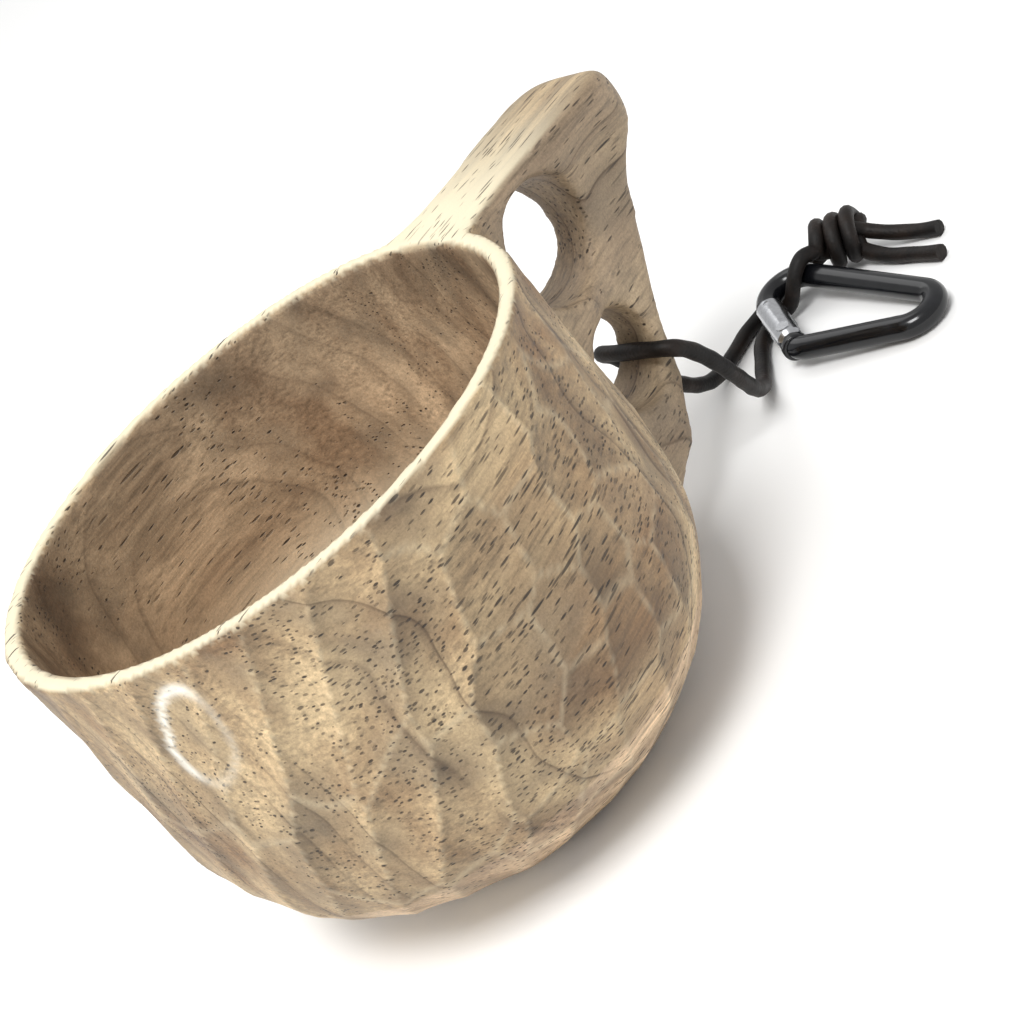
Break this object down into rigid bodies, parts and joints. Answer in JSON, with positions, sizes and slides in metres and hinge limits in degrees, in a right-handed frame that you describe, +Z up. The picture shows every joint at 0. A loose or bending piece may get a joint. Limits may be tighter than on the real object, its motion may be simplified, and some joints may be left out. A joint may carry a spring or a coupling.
{
  "type": "kuksa wooden cup",
  "caption": "Hand-carved wooden drinking cup with a two-hole finger handle, a leather lanyard looped through the lower hole and a small spring-gate carabiner.",
  "frame": {"origin": "centre of the flat base, on the bowl's axis", "axes": "+Z up out of the bowl, +X along the handle, away from the bowl"},
  "size_m": [0.1658, 0.0924, 0.068],
  "materials": {
    "wood": "oiled rubberwood, tool marks outside, smooth inside",
    "leather": "waxed black-brown round leather cord",
    "anodised": "black anodised, satin",
    "bright_steel": "turned and polished"
  },
  "bodies": {
    "cup": {"cup_body": "wood"},
    "lanyard": {"lanyard_cord": "leather", "lanyard_knot": "leather", "cord_tail_long": "leather", "cord_tail_short": "leather"},
    "carabiner": {"carabiner_hook": "anodised"},
    "gate": {"gate_barrel": "bright_steel", "gate_rivet": "bright_steel", "latch_pin": "bright_steel", "gate_spring": "bright_steel"},
    "plunger": {"gate_plunger": "bright_steel"}
  },
  "joints": [
    {"name": "lanyard_swing", "type": "hinge", "parent": "cup", "child": "lanyard", "pos_m": [0.0608, 0, 0.028], "axis": [0, -1, 0], "range_deg": [-40, 50], "deforming": ["lanyard_cord"]},
    {"name": "carabiner_swing", "type": "hinge", "parent": "lanyard", "child": "carabiner", "pos_m": [0.1007, 0.0067, 0.0048], "axis": [-0.123, 0.6962, -0.7072], "range_deg": [0, 60]},
    {"name": "gate_swing", "type": "hinge", "parent": "carabiner", "child": "gate", "pos_m": [0.08943, 0.00062, 0.00426], "axis": [0.0148, 0.084, -0.9964], "range_deg": [0, 25], "stiffness_Nm_per_rad": 0.003, "springref_deg": -8.59},
    {"name": "plunger_slide", "type": "slide", "parent": "gate", "child": "plunger", "axis": [0.6151, 0.7848, 0.0753], "range_m": [0, 0.0006], "deforming": ["gate_spring"]}
  ],
  "couplings": [
    {"joint": "gate_swing", "follows": "plunger_slide", "rad_per_m": 727}
  ]
}
